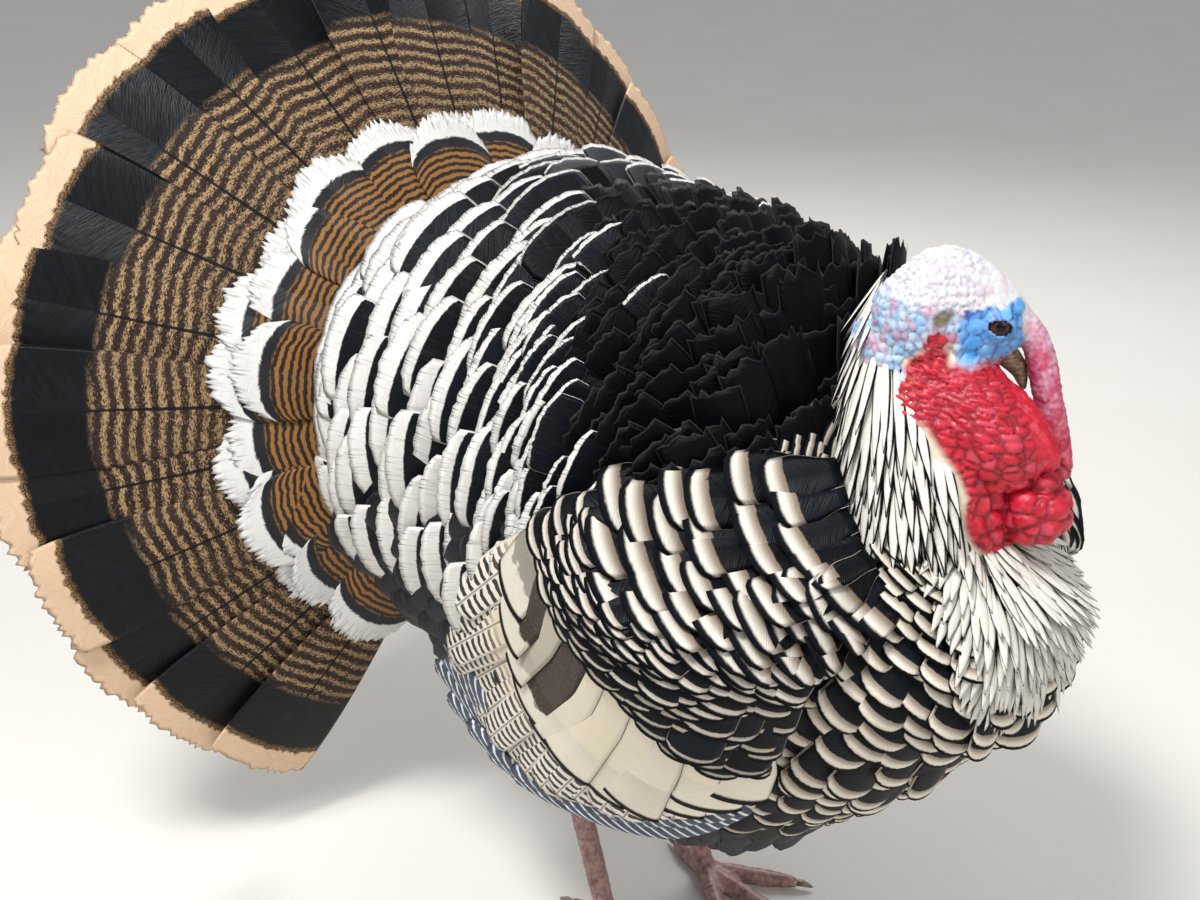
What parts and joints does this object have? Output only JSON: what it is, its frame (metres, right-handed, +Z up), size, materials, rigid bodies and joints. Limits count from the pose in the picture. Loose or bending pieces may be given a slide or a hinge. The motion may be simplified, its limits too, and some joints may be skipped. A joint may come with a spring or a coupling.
{
  "type": "life-size model of a displaying domestic tom turkey",
  "caption": "Still, life-size tom turkey in full display: tail spread in a fan, wings drooped, trunk feathers raised, bare head turned to its left, standing on both feet.",
  "frame": {"origin": "On the floor under the middle of the bird's outline", "axes": "+X is the way the bird faces, +Y its left, +Z up"},
  "size_m": [0.6818, 0.7106, 0.7283],
  "materials": {
    "black_plumage": "glossy black feathers",
    "cream_plumage": "matte cream feathers",
    "barred_plumage": "matte barred brown feathers",
    "chestnut_plumage": "matte chestnut feathers",
    "grey_plumage": "matte grey-brown feathers",
    "pale_skin": "pebbled pale blue skin",
    "red_skin": "moist red skin",
    "pink_skin": "moist pink skin",
    "horn": "worn horn",
    "eye": "wet dark brown eye",
    "leg_skin": "scaled pinkish skin"
  },
  "bodies": {
    "root": {"tail_fan": "barred_plumage", "tail_coverts_upper": "chestnut_plumage", "tail_coverts_lower": "grey_plumage", "trunk": "black_plumage", "wing_right_coverts": "cream_plumage", "wing_right_secondaries": "cream_plumage", "wing_right_primaries": "grey_plumage", "wing_left_coverts": "cream_plumage", "wing_left_secondaries": "cream_plumage", "wing_left_primaries": "grey_plumage", "neck": "cream_plumage", "throat_caruncles": "red_skin", "lower_caruncles": "red_skin", "head": "pale_skin", "eye_right": "eye", "eye_left": "eye", "bill_upper": "horn", "bill_lower": "horn", "snood": "pink_skin", "dewlap": "red_skin", "thigh_right": "black_plumage", "shank_right": "leg_skin", "foot_right": "leg_skin", "claw_right_inner": "horn", "claw_right_middle": "horn", "claw_right_outer": "horn", "claw_right_hind": "horn", "spur_right": "horn", "thigh_left": "black_plumage", "shank_left": "leg_skin", "foot_left": "leg_skin", "claw_left_inner": "horn", "claw_left_middle": "horn", "claw_left_outer": "horn", "claw_left_hind": "horn", "spur_left": "horn"}
  },
  "joints": []
}
